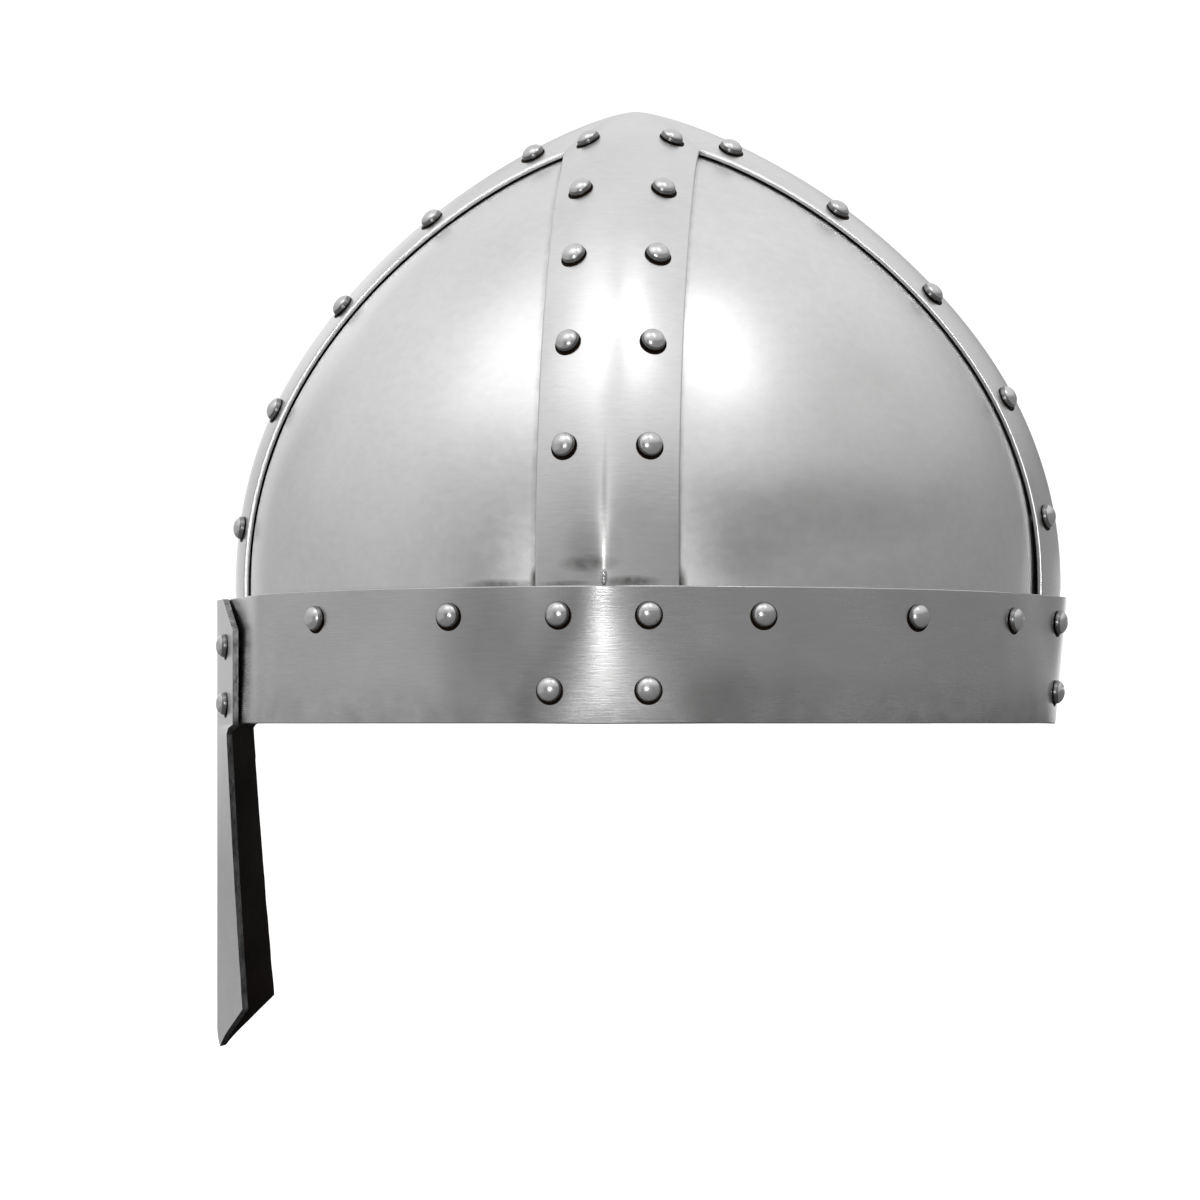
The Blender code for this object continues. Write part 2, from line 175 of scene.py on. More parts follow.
def satinSteel(name, look):
    # ground and buffed sheet: soft cloudy sheen, a brushed grain and fine stray scratches, with painted shade
    # laid along lines and in spots where the look lists them
    steel = Shader(bpy.data.materials.new(name))
    cloud = steel.noise(look["cloudScale"], 3.0)
    grain = steel.noise(look["grainScale"], 2.0, look["grainStretch"], 0.65)
    scratch = steel.noise(look["scratchScale"], 2.0, look["scratchStretch"], 0.7)
    scratches = steel.ramp(scratch, look["scratchFrom"], look["scratchFrom"] + look["scratchEdge"])
    tone = look["cloudShare"] * cloud + (1 - look["cloudShare"]) * grain
    colour = steel.mixColour(steel.ramp(tone, *noiseRange), grey(look["dark"]), grey(look["light"]))
    scratchColour = grey(look["light"] * look["scratchTone"])
    colour = steel.mixColour(scratches * look["scratchShade"], colour, scratchColour)
    for side, low, high, top, shade in look["paintedShade"]:
        # painted shade along a line, such as beside a lapping edge and towards the band's bottom: reach from
        # the middle, and how high it goes
        where = steel.place()
        patchy = steel.ramp(steel.noise(look["paintedShadeScale"], 3.0), *noiseRange)
        share = near(steel, abs(steel.along(where, side)), low, high)
        share = share * (1 - look["paintedShadePatch"] + look["paintedShadePatch"] * patchy)
        share = share * near(steel, steel.along(where, (0, 0, 1)), top * look["paintedShadeFull"], top)
        colour = steel.mixColour(share * shade, colour, paintedShadeColour)
    for centre, size, shade in look["shadeSpots"]:
        # a small patch of painted shade: where it sits, how far it reaches along each axis, and how dark it
        # is
        where = steel.place(size)
        middle = Vector(spot / reach for spot, reach in zip(centre, size))
        away = steel.vector("DISTANCE", where, middle, "Value")
        patchy = steel.ramp(steel.noise(look["shadeSpotGrain"] / size[2], 3.0), *look["shadeSpotRange"])
        share = steel.steps(away, (look["shadeSpotFull"], 1), (1.0, 0))
        share = share * (1 - look["shadeSpotPatch"] + look["shadeSpotPatch"] * patchy)
        colour = steel.mixColour(share * shade, colour, paintedShadeColour)
    rough = look["rough"] + look["roughSpread"] * (cloud - 0.5) + look["roughGrain"] * (grain - 0.5)
    height = look["grainBump"] * grain - look["scratchBump"] * scratches
    relief = steel.bump(height, 1.0, look["bumpDepth"])
    return steel.surface(Base_Color=colour, Metallic=1.0, Roughness=rough, Normal=relief)


def insideAndShadowRingSteel(look):
    # unpolished inner faces: dark oiled scale with a little rub; the same finish makes the painted shadow
    # ring under each rivet head
    steel = Shader(bpy.data.materials.new("darkInsideAndShadowRing"))
    patches = steel.ramp(steel.noise(look["patchScale"], 5.0, rough=0.6), *look["patchRange"])
    pits = steel.bump(steel.noise(look["pitScale"], 3.0), 1.0, look["pitDepth"])
    scale, rubbed = grey(look["dark"], look["darkWarm"]), grey(look["light"], look["lightWarm"])
    colour = steel.mixColour(patches, scale, rubbed)
    rough = look["rough"] - look["rubbed"] * patches
    steel.surface(Base_Color=colour, Metallic=0.0, Roughness=rough, Normal=pits)
    return steel.surface(Specular_IOR_Level=look["gloss"])


def cutEdgeSteel(look):
    # sheared and filed edges of the nasal
    steel = Shader(bpy.data.materials.new("cutEdge"))
    marks = steel.noise(look["scale"], 4.0, look["stretch"], 0.7)
    high = steel.ramp(steel.along(steel.place(), (0, 0, 1)), 0.0, look["headFrom"])
    light = steel.mixColour(high, grey(look["light"]), grey(look["headLight"]))
    colour = steel.mixColour(steel.ramp(marks, *noiseRange), grey(look["dark"]), light)
    relief = steel.bump(marks, 1.0, look["markDepth"])
    return steel.surface(Base_Color=colour, Metallic=1.0, Roughness=look["rough"], Normal=relief)


spangenLook = {
    "dark": 0.56, "light": 0.66, "rough": 0.30, "roughSpread": 0.10, "roughGrain": 0.06,
    "cloudScale": 34, "cloudShare": 0.6,
    "grainScale": 260, "grainStretch": (1, 1, 6), "grainBump": 1.0, "bumpDepth": 0.00002,
    "scratchScale": 90, "scratchStretch": (1, 1, 9), "scratchFrom": 0.72, "scratchEdge": 0.03,
    "scratchShade": 0.2, "scratchTone": 0.72, "scratchBump": 0.5,
    "paintedShade": (), "paintedShadeScale": 160, "paintedShadePatch": 0.7, "paintedShadeFull": 0.5,
    "shadeSpotGrain": 0.9, "shadeSpotRange": (0.25, 0.6), "shadeSpotPatch": 0.5, "shadeSpotFull": 0.3,
    # painted shade: dark spots at the side ridge's foot just above the band, and a thin line that dims the
    # ridge's highlight
    "shadeSpots": (
        ((-0.0040, 0, 0.0402), (0.0085, 1, 0.0026), 0.55), ((-0.0030, 0, 0.0445), (0.0085, 1, 0.0085), 0.26),
        ((0.0065, 0, 0.0356), (0.0085, 1, 0.0018), 0.75), ((-0.0100, 0, 0.0352), (0.0080, 1, 0.0010), 0.50),
        ((0, 0, 0.0450), (0.0011, 1, 0.0300), 0.5),
    ),
}
plateLook = dict(
    spangenLook, dark=0.58, light=0.68, rough=0.33, grainStretch=(1, 1, 1.5), grainScale=320, cloudScale=26,
    # painted shade: thin dark lines on the plates beside the spangens' edges
    scratchFrom=0.74, paintedShade=(((1, 0, 0), 0.0184, 0.0192, 0.4, 0.4), ((0, 1, 0), 0.0167, 0.0170, 0.4, 0.15)),
    # painted shadow: dark wedges beside the side spangen's foot and a smear along the band's top edge;
    # painted shade over the back plates low down
    shadeSpots=(
        ((-0.0182, 0, 0.0360), (0.0016, 1, 0.0042), 1.0), ((0.0190, 0, 0.0356), (0.0018, 1, 0.0042), 1.0),
        ((-0.0270, 0, 0.0352), (0.0110, 1, 0.0016), 0.6), ((0.0500, 0, 0.0550), (0.0360, 1, 0.0140), 0.24),
        ((0.0660, 0, 0.0800), (0.0380, 1, 0.0360), 0.22), ((0.0300, 0, 0.0420), (0.0160, 1, 0.0100), 0.22),
    ),
)
bandLook = dict(
    spangenLook, dark=0.44, light=0.54, rough=0.26, grainStretch=(0.25, 0.25, 4), grainScale=700,
    scratchStretch=(1, 1, 12), scratchScale=110, scratchFrom=0.70, scratchShade=0.5,
    # painted shade: the band darker towards its bottom
    paintedShade=(((0, 0, 1), 0.002, 0.014, 0.4, 0.25),),
    # painted shade: the band's top dulled over the side ridge, and soft darkening ahead of the ridge and low
    # behind it
    shadeSpots=(
        ((0.001, 0, 0.0345), (0.0060, 1, 0.0110), 0.55), ((-0.029, 0, 0.0170), (0.0160, 1, 0.0300), 0.3),
        ((0.032, 0, 0.0040), (0.0290, 1, 0.0180), 0.35),
    ),
)
nasalLook = dict(spangenLook, dark=0.54, light=0.63, rough=0.38, shadeSpots=())
rivetLook = dict(
    spangenLook, dark=0.47, light=0.57, rough=0.25, grainStretch=(1, 1, 1), grainScale=900, shadeSpots=(),
)
# painted shade: a darker finish for each rivet's lower dome and what lies below it
rimShadeLook = dict(rivetLook, dark=0.16, light=0.24, rough=0.30)
insideAndShadowRingLook = {
    "dark": 0.001, "darkWarm": 0.004, "light": 0.005, "lightWarm": 0.006, "rough": 0.7, "rubbed": 0.12,
    "gloss": 0.08, "patchScale": 40, "patchRange": (0.35, 0.7), "pitScale": 900, "pitDepth": 0.00005,
}
edgeLook = {
    "dark": 0.02, "light": 0.10, "headLight": 0.42, "headFrom": 0.001, "rough": 0.42,
    "scale": 500, "stretch": (1, 1, 0.4), "markDepth": 0.00025,
}

spangenSteel = satinSteel("spangenSteel", spangenLook)
plateSteel = satinSteel("plateSteel", plateLook)
bandSteel = satinSteel("bandSteel", bandLook)
nasalSteel = satinSteel("nasalSteel", nasalLook)
rivetSteel = satinSteel("rivetSteel", rivetLook)
rivetRim = satinSteel("rivetRim", rimShadeLook)
darkInsideAndShadowRing = insideAndShadowRingSteel(insideAndShadowRingLook)
cutEdge = cutEdgeSteel(edgeLook)
print("finishes made")

# The crown's surface, to the outside of the infill plates, in the part's own sizes
crown = {
    "frontReach": 0.1068, "rearReach": 0.1116, "halfWidth": 0.0963,
    "wallHeight": 0.0371, "domeRise": 0.1270, "planPower": 1.325, "risePower": 2.1,
    "sheet": 0.0016, "clearance": 0.0003,
    "spangenHalfWidth": 0.0181, "longHalfWidth": 0.0166, "ridgeHeight": 0.0038, "ridgeAtRim": 0.1,
    "foldLow": 0.040, "foldHigh": 0.50, "foldFrom": 0.036, "foldTo": 0.090,
    "wobble": 0.00022, "wobbleSize": 0.034,
}
crown["meanReach"] = (crown["frontReach"] + crown["rearReach"]) / 2
# fore and wide place a point on the crown's plan, as shares of its reach and of its half width
crown["wideEdge"] = crown["longHalfWidth"] / crown["halfWidth"]
crown["foreEdge"] = crown["spangenHalfWidth"] / crown["meanReach"]
crown["corner"] = hypot(crown["wideEdge"], crown["foreEdge"])


def levelAt(turn):
    height = crown["wallHeight"] + crown["domeRise"] * sin(turn) ** (2 / crown["risePower"])
    return cos(turn) ** (2 / crown["planPower"]), height


def turnAt(share):
    return pi / 2 - asin(share ** (crown["planPower"] / 2))


def skinNormal(fore, wide, height):
    reach = crown["rearReach"] if fore >= 0 else crown["frontReach"]
    share = hypot(fore, wide)
    lift = max(0.0, (height - crown["wallHeight"]) / crown["domeRise"])
    around = crown["planPower"] * share ** (crown["planPower"] - 2) if share > 1e-6 else 0.0
    up = crown["risePower"] * lift ** (crown["risePower"] - 1) / crown["domeRise"]
    return Vector((around * fore / reach, around * wide / crown["halfWidth"], up)).normalized()


def skin(fore, wide, height, out):
    # a point out from the plates' face; every sheet shares the same slight hammered wobble
    reach = crown["rearReach"] if fore >= 0 else crown["frontReach"]
    point = Vector((fore * reach, wide * crown["halfWidth"], height))
    wave = noise.noise(point / crown["wobbleSize"]) * crown["wobble"]
    return point + skinNormal(fore, wide, height) * (out + wave)


def ridgeAt(height):
    share = min(1.0, height / crown["wallHeight"])
    return crown["ridgeHeight"] * (crown["ridgeAtRim"] + (1 - crown["ridgeAtRim"]) * share)


def offRidge(fore, wide):
    return min(1.0, abs(fore) / crown["foreEdge"], abs(wide) / crown["wideEdge"])


def foldShape(off, radius):
    # 1 on the fold and 0 at the edge, with the fold's crest rounded over a small radius
    crest = (off * off + radius * radius) ** 0.5 - radius
    return 1 - crest / ((1 + radius * radius) ** 0.5 - radius)


def foldSlope(radius):
    # how fast foldShape falls where it reaches the edge
    reach = (1 + radius * radius) ** 0.5
    return 1 / (reach * (reach - radius))


def eased(share):
    share = min(1.0, max(0.0, share))
    return share * share * (3 - 2 * share)


def foldRadius(height):
    # the fold is crisp over the band and softens into a smooth cap
    share = eased((height - crown["foldFrom"]) / (crown["foldTo"] - crown["foldFrom"]))
    return crown["foldLow"] + (crown["foldHigh"] - crown["foldLow"]) * share


def frameOut(fore, wide, height, radius=None):
    radius = foldRadius(height) if radius is None else radius
    out = crown["clearance"] + crown["sheet"]
    return out + ridgeAt(height) * foldShape(offRidge(fore, wide), radius)


# Mesh helpers
def sheetFrom(name, grids, material, seam=2e-6):
    # one mesh from grids of points, which join where their points meet within the seam
    mesh = bmesh.new()
    for rows in grids:
        made = [[mesh.verts.new(point) for point in row] for row in rows]
        for low, high in zip(made, made[1:]):
            for left in range(len(low) - 1):
                mesh.faces.new((low[left], low[left + 1], high[left + 1], high[left]))
    bmesh.ops.remove_doubles(mesh, verts=mesh.verts, dist=seam)
    bmesh.ops.recalc_face_normals(mesh, faces=mesh.faces)
    return pieceFrom(name, mesh, [material, darkInsideAndShadowRing])


def faceOut(piece, towards=lambda point: point):
    # turns the whole sheet over if its faces look away from the side given
    mesh = bmesh.new()
    mesh.from_mesh(piece.data)
    mesh.faces.ensure_lookup_table()
    face = mesh.faces[len(mesh.faces) // 2]
    if face.normal.dot(towards(face.calc_center_median())) < 0:
        bmesh.ops.reverse_faces(mesh, faces=mesh.faces)
    mesh.to_mesh(piece.data)
    mesh.free()


def pieceFrom(name, mesh, materials):
    data = bpy.data.meshes.new(name)
    mesh.to_mesh(data)
    mesh.free()
    for material in materials:
        data.materials.append(material)
    data.shade_smooth()
    piece = bpy.data.objects.new(name, data)
    bpy.context.scene.collection.objects.link(piece)
    return piece


def thicken(piece, thickness, side, rim=0):
    solid = piece.modifiers.new("sheet", "SOLIDIFY")
    solid.thickness = thickness
    solid.offset = side
    solid.use_even_offset = True
    solid.material_offset = 1
    solid.material_offset_rim = rim


def softenEdges(piece, width, angle=45, material=-1):
    bevel = piece.modifiers.new("edge", "BEVEL")
    bevel.material = material
    bevel.width = width
    bevel.segments = 2
    bevel.limit_method = "ANGLE"
    bevel.angle_limit = radians(angle)
    bevel.harden_normals = False
    weighted = piece.modifiers.new("shading", "WEIGHTED_NORMAL")
    weighted.keep_sharp = True


dressed = []  # piece, slot and the CAD node that it stands for


def settle(piece, slot, node):
    dressed.append((piece, slot, node))


def spaced(count, low=0.0, high=1.0):
    return [low + (high - low) * step / count for step in range(count + 1)]


# Crown frame
frameDetail = {
    "foot": 0.0025, "wallRows": 10, "rows": 96, "capRows": 22, "edge": 0.00045,
    "columns": (0, 0.012, 0.028, 0.05, 0.085, 0.14, 0.23, 0.34, 0.46, 0.58, 0.70, 0.82, 0.91, 0.965, 1.0),
}


def crownLevels(foot, wallRows, domeRows):
    walls = [(1.0, height) for height in spaced(wallRows, foot, crown["wallHeight"])]
    top = turnAt(crown["corner"])
    return walls + [levelAt(top * row / domeRows) for row in range(1, domeRows + 1)]


def armPoint(share, across, along):
    if along == "x":
        wide = across * crown["wideEdge"]
        return (share**2 - wide**2) ** 0.5, wide
    fore = across * crown["foreEdge"]
    return fore, (share**2 - fore**2) ** 0.5


def framePoint(fore, wide, height, front, left):
    return skin(fore * front, wide * left, height, frameOut(fore, wide, height))


def frameGrid(along, front, left):
    # one half of an arm, from its foot to the crossing, and then over the cap to the apex
    rows = []
    for share, height in crownLevels(frameDetail["foot"], frameDetail["wallRows"], frameDetail["rows"]):
        plan = [armPoint(share, across, along) for across in frameDetail["columns"]]
        rows.append([framePoint(fore, wide, height, front, left) for fore, wide in plan])
    corner = crown["corner"]
    plan = [armPoint(corner, across, along) for across in frameDetail["columns"]]
    for step in range(1, frameDetail["capRows"] + 1):
        shrink = 1 - step / frameDetail["capRows"]
        lift = (1 - (corner * shrink) ** crown["planPower"]) ** (1 / crown["risePower"])
        height = crown["wallHeight"] + crown["domeRise"] * lift
        rows.append([framePoint(fore * shrink, wide * shrink, height, front, left) for fore, wide in plan])
    return rows


frameGrids = [frameGrid(along, front, left) for along in "xy" for front in (-1, 1) for left in (-1, 1)]
crownFrame = sheetFrom("fineCrownFrame", frameGrids, spangenSteel)
faceOut(crownFrame)
thicken(crownFrame, crown["sheet"], -1)
softenEdges(crownFrame, frameDetail["edge"])
settle(crownFrame, "spangen_steel", "crown_frame")

# A small rough bead of weld at the foot of each side ridge, over the band
beadDetail = {
    "low": 0.0344, "high": 0.0390, "halfWidth": 0.0010, "narrowest": 0.25, "rise": 0.00045, "buried": 0.0001,
    "lump": 0.00022, "lumps": 2.2, "lumpsAlong": 5, "rows": 18, "columns": 10,
}


def beadGrid(left):
    rows = []
    for along in spaced(beadDetail["rows"]):
        height = beadDetail["low"] + (beadDetail["high"] - beadDetail["low"]) * along
        row = []
        for side in spaced(beadDetail["columns"], -1, 1):
            halfWidth = beadDetail["halfWidth"] * max(beadDetail["narrowest"], sin(pi * along)) ** 0.5
            fore = side * halfWidth / crown["rearReach"]
            wide = left * (1 - fore * fore) ** 0.5
            swell = (1 - side * side) * sin(pi * along) ** 0.5
            spot = Vector((side, left, along * beadDetail["lumpsAlong"])) * beadDetail["lumps"]
            rise = beadDetail["rise"] + noise.noise(spot) * beadDetail["lump"]
            out = frameOut(fore, wide, height) + rise * swell - beadDetail["buried"]
            row.append(skin(fore, wide, height, out))
        rows.append(row)
    return rows


for hand, left in (("left", -1), ("right", 1)):
    bead = sheetFrom("weldBead_" + hand, [beadGrid(left)], rivetSteel)
    faceOut(bead)
    thicken(bead, crown["sheet"] / 2, -1)
    settle(bead, "spangen_steel", "crown_frame")
print("crown frame made")

# Infill plates
plateDetail = {
    "edgeFromRidge": 0.0030, "foot": 0.0160, "tip": 1 / 3,
    "columns": 56, "wallRows": 6, "rows": 72, "tipRows": 8,
    "footSink": 0.0006, "sinkHeight": 0.020, "sinkReach": 0.010,
}


def plateSink(fore, wide, height):
    # beside a spangen's foot the plate stands back a little, which opens a dark wedge over the band
    reach = crown["rearReach"] if fore >= 0 else crown["frontReach"]
    beside = abs(fore) * reach - crown["spangenHalfWidth"]
    if fore > 0:
        beside = min(beside, abs(wide) * crown["halfWidth"] - crown["longHalfWidth"])
    over = max(0.0, height - crown["wallHeight"]) / plateDetail["sinkHeight"]
    return plateDetail["footSink"] * exp(-over * over) * exp(-((beside / plateDetail["sinkReach"]) ** 2))


def plateGrid(front, left):
    levels = crownLevels(plateDetail["foot"], plateDetail["wallRows"], plateDetail["rows"])
    for share in spaced(plateDetail["tipRows"], 1.0, plateDetail["tip"])[1:]:
        levels.append(levelAt(turnAt(crown["corner"] * share)))
    rows = []
    for share, height in levels:
        low = asin(plateDetail["edgeFromRidge"] / crown["halfWidth"] / share)
        high = pi / 2 - asin(plateDetail["edgeFromRidge"] / crown["frontReach"] / share)
        row = []
        for angle in spaced(plateDetail["columns"], low, high):
            fore, wide = share * cos(angle) * front, share * sin(angle) * left
            row.append(skin(fore, wide, height, -plateSink(fore, wide, height)))
        rows.append(row)
    return rows


plates = {}
for end, front in (("front", -1), ("back", 1)):
    for hand, left in (("left", -1), ("right", 1)):
        node = f"plate_{end}_{hand}"
        plates[node] = sheetFrom("fine_" + node, [plateGrid(front, left)], plateSteel)
        faceOut(plates[node])
        thicken(plates[node], crown["sheet"], -1)
        settle(plates[node], "plate_steel", node)
print("plates made")

# Brow band
bandDetail = {"height": 0.0347, "angles": 720, "rows": 8, "edge": 0.00035, "flare": 0.0205, "bend": 0.5}


def bandOut(fore, wide, height):
    # over the spangens, then down to the plates beyond their edges
    reach = crown["rearReach"] if fore >= 0 else crown["frontReach"]
    off = offRidge(fore, wide)
    overlap = crown["sheet"] + crown["clearance"]
    if off < 1:
        return frameOut(fore, wide, height, bandDetail["bend"]) + crown["clearance"]
    side = abs(fore) * reach - crown["foreEdge"] * reach
    beyond = min(side, (abs(wide) - crown["wideEdge"]) * crown["halfWidth"])
    along = min(1.0, max(0.0, beyond) / bandDetail["flare"])
    slope = ridgeAt(height) * foldSlope(bandDetail["bend"]) / crown["spangenHalfWidth"]
    falling = slope * bandDetail["flare"] * along * (1 - along) ** 2
    return crown["clearance"] + overlap * (1 - eased(along)) - falling


def bandRow(height):
    row = []
    for step in range(bandDetail["angles"] + 1):
        angle = 2 * pi * (step % bandDetail["angles"]) / bandDetail["angles"]
        fore, wide = cos(angle), sin(angle)
        row.append(skin(fore, wide, height, bandOut(fore, wide, height)))
    return row


bandGrid = [bandRow(height) for height in spaced(bandDetail["rows"], 0, bandDetail["height"])]
band = sheetFrom("fineBrowBand", [bandGrid], bandSteel)
faceOut(band, lambda point: Vector((point.x, point.y, 0)))
thicken(band, crown["sheet"], 1)
softenEdges(band, bandDetail["edge"])
settle(band, "band_steel", "brow_band")
print("band made")

# Nasal
nasalDetail = {
    "sheet": 0.0016, "standoff": 0.0019, "headHalfWidth": 0.0255, "foldRound": 0.045, "edge": 0.00035,
    "twist": 2.3, "farLift": 0.0018, "neckReach": 0.01,
    "ripple": 0.00022, "rippleSize": 0.006, "rippleBelow": -0.004, "rippleSeed": 3.1,
    "tipHeight": 0.006, "tipSetback": 0.0008, "columns": 36, "step": 0.0009, "leastStep": 0.0001,
}
headHalfWidth = nasalDetail["headHalfWidth"]
nasalOutline = [  # height, half width, and how steeply it slopes back from the fold, from the top to the tip
    (0.0345, 0.0110, 0.333), (0.0255, headHalfWidth, 0.333), (-0.0003, headHalfWidth, 0.333),
    (-0.0012, 0.0229, 0.300), (-0.0030, 0.0216, 0.285), (-0.0780, 0.0275, 0.422), (-0.0905, 0.0012, 0.422),
]
# the fold stands off the band's front, which lies over the front spangen's crest
frontCrest = frameOut(-1, 0, bandDetail["height"], radius=0.0)
nasalFront = -(crown["frontReach"] + frontCrest + crown["clearance"] + crown["sheet"])
nasalFront -= nasalDetail["standoff"] + nasalDetail["sheet"]


def nasalAt(height):
    for high, low in zip(nasalOutline, nasalOutline[1:]):
        if height >= low[0]:
            share = (high[0] - height) / (high[0] - low[0])
            return high[1] + (low[1] - high[1]) * share, high[2] + (low[2] - high[2]) * share
    return nasalOutline[-1][1:]


def nasalHeights(top, foot):
    # even steps and the outline's own heights, less those that nearly meet the next
    heights = set(spaced(round((top - foot) / nasalDetail["step"]), top, foot))
    heights |= {row[0] for row in nasalOutline}
    ordered = sorted(heights, reverse=True)
    pairs = zip(ordered, ordered[1:] + [foot - 1])
    return [height for height, after in pairs if height - after > nasalDetail["leastStep"] or height == top]


def nasalRipple(height):
    # the guard's hand-cut edges waver a little
    if height >= nasalDetail["rippleBelow"]:
        return 0
    spot = Vector((0, nasalDetail["rippleSeed"], height / nasalDetail["rippleSize"]))
    return noise.noise(spot) * nasalDetail["ripple"]


def nasalGrid():
    top, foot = nasalOutline[0][0], nasalOutline[-1][0]
    fold = nasalDetail["foldRound"] * headHalfWidth
    twist = sin(radians(nasalDetail["twist"]))
    rows = []
    for height in nasalHeights(top, foot):
        farHeight = height - nasalDetail["farLift"] if abs(height) < nasalDetail["neckReach"] else height
        ripple = nasalRipple(height)
        tip = max(0.0, 1 - (height - foot) / nasalDetail["tipHeight"])
        row = []
        for side in spaced(nasalDetail["columns"], -1, 1):
            halfWidth, slope = nasalAt(farHeight if side > 0 else height)
            y = side * (halfWidth + ripple * (1 if side < 0 else -1))
            x = nasalFront + slope * ((y * y + fold * fold) ** 0.5 - fold) - y * twist
            row.append(Vector((x + nasalDetail["tipSetback"] * tip * tip, y, height)))
        rows.append(row)
    return rows


nasal = sheetFrom("fineNasal", [nasalGrid()], nasalSteel)
nasal.data.materials.append(cutEdge)
faceOut(nasal, lambda point: Vector((-1, 0, 0)))
thicken(nasal, nasalDetail["sheet"], -1, rim=2)
softenEdges(nasal, nasalDetail["edge"], material=0)
settle(nasal, "nasal_steel", "nasal")
print("nasal made")

# Rivets
rivetDetail = {
    "head": 0.0032, "rise": 0.0026, "lip": 0.00030, "seat": 0.00008, "shank": 0.0015,
    "tail": 0.0024, "tailRise": 0.0011, "tailGap": 0.0001,
    "sides": 28, "rings": 10, "darkFrom": 7, "crisp": 50,
    "underHead": ((0.985, 0.00008), (0.93, 0.0)),  # share of the head's radius, height over the seat
    "tailShape": ((1.0, 0.0), (0.97, 0.0003), (0.7, 0.0008)),  # share of the tail's radius, depth below it
    # the painted shadow ring under each head: its radius, how far it drops downhill and how far it stands off
    # along the axis
    "shadowRing": 0.0036, "shadowRingDrop": 0.0004, "shadowRingLift": 0.00005,
    "column": 0.0105, "nasalColumn": 0.0150, "searchFrom": 0.013, "nasalSearchFrom": -0.14,
    "gripSheets": 4, "gripProbes": 8, "swell": 0.03, "lean": 4.0,
    "chances": {"swell": (1.7, 0.3, 0.9), "leanOver": (2.3, 5.1, 0.4), "leanAside": (3.1, 0.7, 8.2)},
}
spangenRows = {  # degrees of the quarter turn from the wall's top to the apex
    "side": (13.7, 26.3, 39.2, 52.2, 68.0),
    "front": (6.8, 21.2, 35.6, 50.3, 65.6),
    "back": (7.7, 22.0, 36.6, 51.1, 66.3),
}
bandRivets = {
    "rows": (0.0275, 0.0086), "sides": ((0.0114, 0.0106), (0.0137, 0.0105)),
    "front": (22.0, 46.4), "back": (20.5, 43.8, 66.0),
}
nasalRivets = {"upper": 0.0215, "lower": 0.0055}


def treeOf(piece):
    bpy.context.view_layer.update()
    return BVHTree.FromObject(piece, bpy.context.evaluated_depsgraph_get())


frameTree, bandTree, nasalTree = treeOf(crownFrame), treeOf(band), treeOf(nasal)
plateTrees = [treeOf(plate) for plate in plates.values()]


def seatOn(tree, start, inwards):
    seat, normal, _, _ = tree.ray_cast(start, inwards)
    return seat, normal.normalized()


def crownSeat(tree, fore, wide, height):
    start = skin(fore, wide, height, rivetDetail["searchFrom"])
    return seatOn(tree, start, skin(fore, wide, height, 0) - start)


def gripThrough(trees, seat, axis):
    # how deep the sheets lie below the seat, looked for from inside all round the tail
    reach = rivetDetail["head"] + rivetDetail["gripSheets"] * crown["sheet"]
    deepest = crown["sheet"]
    side = axis.orthogonal().normalized()
    for tree in trees:
        for step in range(rivetDetail["gripProbes"]):
            turned = Matrix.Rotation(2 * pi * step / rivetDetail["gripProbes"], 3, axis)
            rim = turned @ side * rivetDetail["tail"]
            hit, _, _, distance = tree.ray_cast(seat + rim - axis * reach, axis, reach)
            if hit is not None:
                deepest = max(deepest, reach - distance)
    return deepest


def rivetProfile(grip, swell):
    # radius and height from the dome's top, under the head and down the shank to the hammered tail
    head, rise, lip = rivetDetail["head"] * swell, rivetDetail["rise"], rivetDetail["lip"]
    base, tail = rivetDetail["seat"], -grip - rivetDetail["tailGap"]
    profile = []
    for step in range(rivetDetail["rings"] + 1):
        angle = pi / 2 * step / rivetDetail["rings"]
        profile.append((head * sin(angle), base + lip + (rise - lip) * cos(angle)))
    profile += [(head * share, base + over) for share, over in rivetDetail["underHead"]]
    profile += [(rivetDetail["shank"], base), (rivetDetail["shank"], tail)]
    profile += [(rivetDetail["tail"] * share, tail - below) for share, below in rivetDetail["tailShape"]]
    return profile + [(0.0, tail - rivetDetail["tailRise"])]


def turnedMesh(profile):
    mesh = bmesh.new()
    turns = [2 * pi * step / rivetDetail["sides"] for step in range(rivetDetail["sides"])]
    rings = []
    for radius, height in profile:
        if radius == 0.0:
            rings.append([mesh.verts.new((0, 0, height))])
            continue
        rings.append([mesh.verts.new((radius * cos(a), radius * sin(a), height)) for a in turns])
    for ring, (upper, lower) in enumerate(zip(rings, rings[1:])):
        for step in range(rivetDetail["sides"]):
            after = (step + 1) % rivetDetail["sides"]
            corners = [upper[step % len(upper)], lower[step % len(lower)]]
            corners += [lower[after % len(lower)], upper[after % len(upper)]]
            face = mesh.faces.new(list(dict.fromkeys(corners)))
            # painted shade: the dome's lower rings and all below them take the darker rim finish
            face.material_index = 2 if ring >= rivetDetail["darkFrom"] else 0
    bmesh.ops.recalc_face_normals(mesh, faces=mesh.faces)
    return mesh


